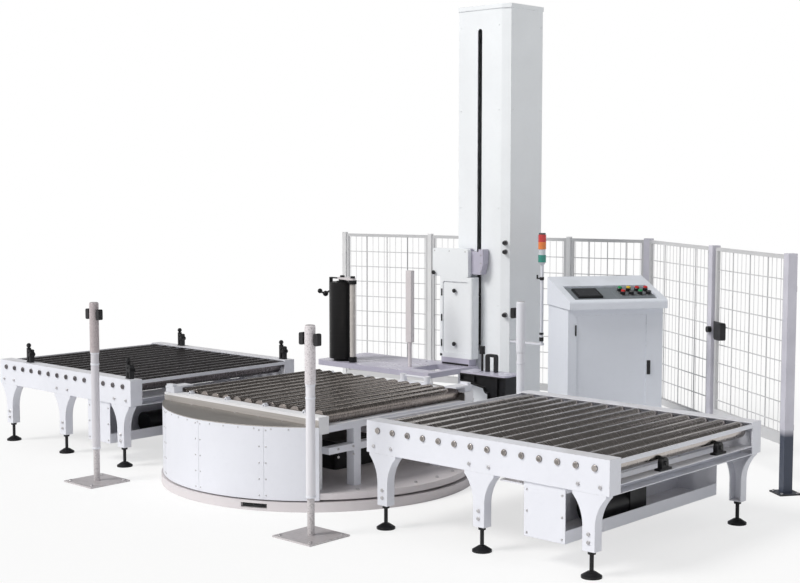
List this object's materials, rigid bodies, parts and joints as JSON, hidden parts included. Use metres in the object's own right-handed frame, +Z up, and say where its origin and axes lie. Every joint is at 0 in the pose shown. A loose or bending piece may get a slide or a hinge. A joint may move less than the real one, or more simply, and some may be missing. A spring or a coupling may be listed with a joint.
{
  "type": "turntable pallet wrapper",
  "caption": "Turntable pallet wrapping machine between two roller conveyors, with a film carriage on a mast, a console and a mesh safety fence.",
  "frame": {"origin": "centre of the turntable's round base, on the floor", "axes": "+X along the line of travel from infeed to outfeed, +Y towards the mast and the fence, +Z up"},
  "size_m": [4.565, 3.5009, 2.686],
  "materials": {
    "white_paint": "satin",
    "pale_grey_paint": "satin",
    "dark_grey_paint": "satin",
    "mast_paint": "satin",
    "console_paint": "satin",
    "fence_paint": "satin",
    "lilac_paint": "satin",
    "black_metal": "satin",
    "roller_steel": "polished",
    "brushed_plate": "brushed",
    "mesh_wire": "satin",
    "black_plastic": "matte",
    "film_black": "gloss",
    "rubber_roller": "matte",
    "lamp_plastic": "gloss"
  },
  "bodies": {
    "plant": {"infeed_rails": "white_paint", "infeed_rollers": "roller_steel", "infeed_cross_tubes": "white_paint", "infeed_legs": "white_paint", "infeed_feet": "black_metal", "infeed_drive_cover": "white_paint", "infeed_drive_motor": "black_metal", "outfeed_rails": "white_paint", "outfeed_rollers": "roller_steel", "outfeed_cross_tubes": "white_paint", "outfeed_legs": "white_paint", "outfeed_feet": "black_metal", "outfeed_drive_cover": "white_paint", "outfeed_drive_motor": "black_metal", "infeed_sensors": "black_plastic", "base_ring": "pale_grey_paint", "mast_base": "dark_grey_paint", "mast_column": "mast_paint", "mast_cap": "mast_paint", "mast_guide": "black_metal", "mast_controls": "black_plastic", "console_cabinet": "console_paint", "console_desk": "console_paint", "console_controls": "black_plastic", "signal_pole": "white_paint", "signal_lamps": "lamp_plastic", "tower_bracket": "white_paint", "barrier_posts": "white_paint", "barrier_lenses": "black_plastic", "cutter_stand": "black_metal", "cutter_plate": "lilac_paint", "cutter_actuators": "black_plastic", "fence_posts": "fence_paint", "fence_panel_1": "mesh_wire", "fence_panel_2": "mesh_wire", "fence_panel_3": "mesh_wire", "fence_panel_4": "mesh_wire", "door_latch": "black_plastic", "hinge_pins": "black_metal"},
    "turntable": {"turntable_platform": "pale_grey_paint", "skirt_near": "white_paint", "skirt_far": "white_paint", "cover_near": "brushed_plate", "cover_far": "brushed_plate", "deck_rails": "white_paint", "deck_rollers": "roller_steel", "deck_end_frames": "white_paint", "deck_drive": "black_metal", "film_clamp": "white_paint"},
    "carriage": {"carriage_slider": "black_metal", "carriage_housing": "white_paint", "carriage_head": "lilac_paint", "carriage_shelf": "lilac_paint", "film_spindle": "black_metal", "stretch_rollers": "rubber_roller", "roller_head": "pale_grey_paint"},
    "film_roll": {"film_roll": "film_black"},
    "fence_door": {"fence_door": "mesh_wire", "door_handle": "black_plastic"}
  },
  "joints": [
    {"name": "turntable_spin", "type": "hinge", "parent": "plant", "child": "turntable", "pos_m": [0, 0, 0.058], "axis": [0, 0, 1], "continuous": true},
    {"name": "carriage_lift", "type": "slide", "parent": "plant", "child": "carriage", "axis": [0, 0, 1], "range_m": [0, 1.4]},
    {"name": "film_roll_spin", "type": "hinge", "parent": "carriage", "child": "film_roll", "pos_m": [-0.825, 1, 0.478], "axis": [0, 0, 1], "continuous": true},
    {"name": "fence_door_swing", "type": "hinge", "parent": "plant", "child": "fence_door", "pos_m": [2.09701, 1.38352, 0.5], "axis": [0, 0, -1], "range_deg": [0, 100]}
  ]
}
